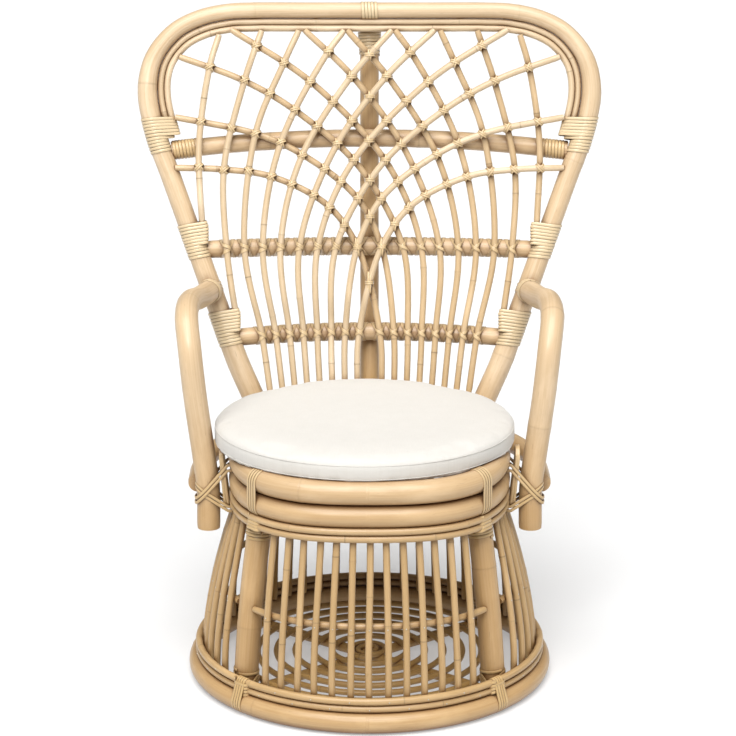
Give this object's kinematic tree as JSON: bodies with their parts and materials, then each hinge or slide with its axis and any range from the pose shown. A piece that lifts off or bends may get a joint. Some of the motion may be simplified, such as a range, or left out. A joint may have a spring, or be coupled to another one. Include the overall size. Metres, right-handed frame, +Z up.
{
  "type": "peacock chair",
  "caption": "Rattan peacock chair: round caged drum base, ringed seat with a loose round cushion, bent pole arms, and a wide hooped back filled with a fan lattice of crossing canes.",
  "frame": {"origin": "on the floor, under the middle of the chair's box", "axes": "+Z up, the sitter faces -Y, +X is the chair's right side as seen from the front"},
  "size_m": [0.7848, 0.715, 1.0562],
  "materials": {
    "pole": "peeled rattan pole, satin varnish",
    "cane": "thin rattan cane, satin varnish",
    "strip": "split rattan skin, glossy",
    "cloth": "off-white plain weave"
  },
  "bodies": {
    "chair": {"base_ring": "pole", "base_hoop_lower": "cane", "base_hoop_upper": "cane", "leg_front_left": "pole", "leg_front_right": "pole", "leg_rear_left": "pole", "leg_rear_right": "pole", "spindle_panel_front": "cane", "spindle_panel_right": "cane", "spindle_panel_rear": "cane", "spindle_panel_left": "cane", "floor_scroll": "cane", "seat_ring_upper": "pole", "seat_ring_lower": "pole", "seat_hoop_upper": "cane", "seat_hoop_lower": "cane", "seat_rear_rail": "pole", "seat_deck": "cane", "back_frame_left": "pole", "back_frame_right": "pole", "back_hoop_outer": "cane", "back_hoop_inner": "cane", "back_rail_lower": "pole", "back_rail_middle": "pole", "back_rail_upper": "pole", "back_post": "pole", "lattice_cane_right_01": "cane", "lattice_cane_right_02": "cane", "lattice_cane_right_03": "cane", "lattice_cane_right_04": "cane", "lattice_cane_right_05": "cane", "lattice_cane_right_06": "cane", "lattice_cane_right_07": "cane", "lattice_cane_right_08": "cane", "lattice_cane_right_09": "cane", "lattice_cane_right_10": "cane", "lattice_cane_left_01": "cane", "lattice_cane_left_02": "cane", "lattice_cane_left_03": "cane", "lattice_cane_left_04": "cane", "lattice_cane_left_05": "cane", "lattice_cane_left_06": "cane", "lattice_cane_left_07": "cane", "lattice_cane_left_08": "cane", "lattice_cane_left_09": "cane", "lattice_cane_left_10": "cane", "arm_left": "pole", "arm_right": "pole", "binding_lower_left": "strip", "binding_middle_left": "strip", "binding_upper_left": "strip", "binding_lower_right": "strip", "binding_middle_right": "strip", "binding_upper_right": "strip", "binding_top_joint": "strip", "arm_binding_left": "strip", "arm_binding_right": "strip", "arm_lashing_left": "strip", "arm_lashing_right": "strip"},
    "cushion": {"cushion": "cloth"}
  },
  "joints": [
    {"name": "cushion_lift", "type": "slide", "parent": "chair", "child": "cushion", "axis": [0, 0, 1], "range_m": [0, 0.3]}
  ]
}
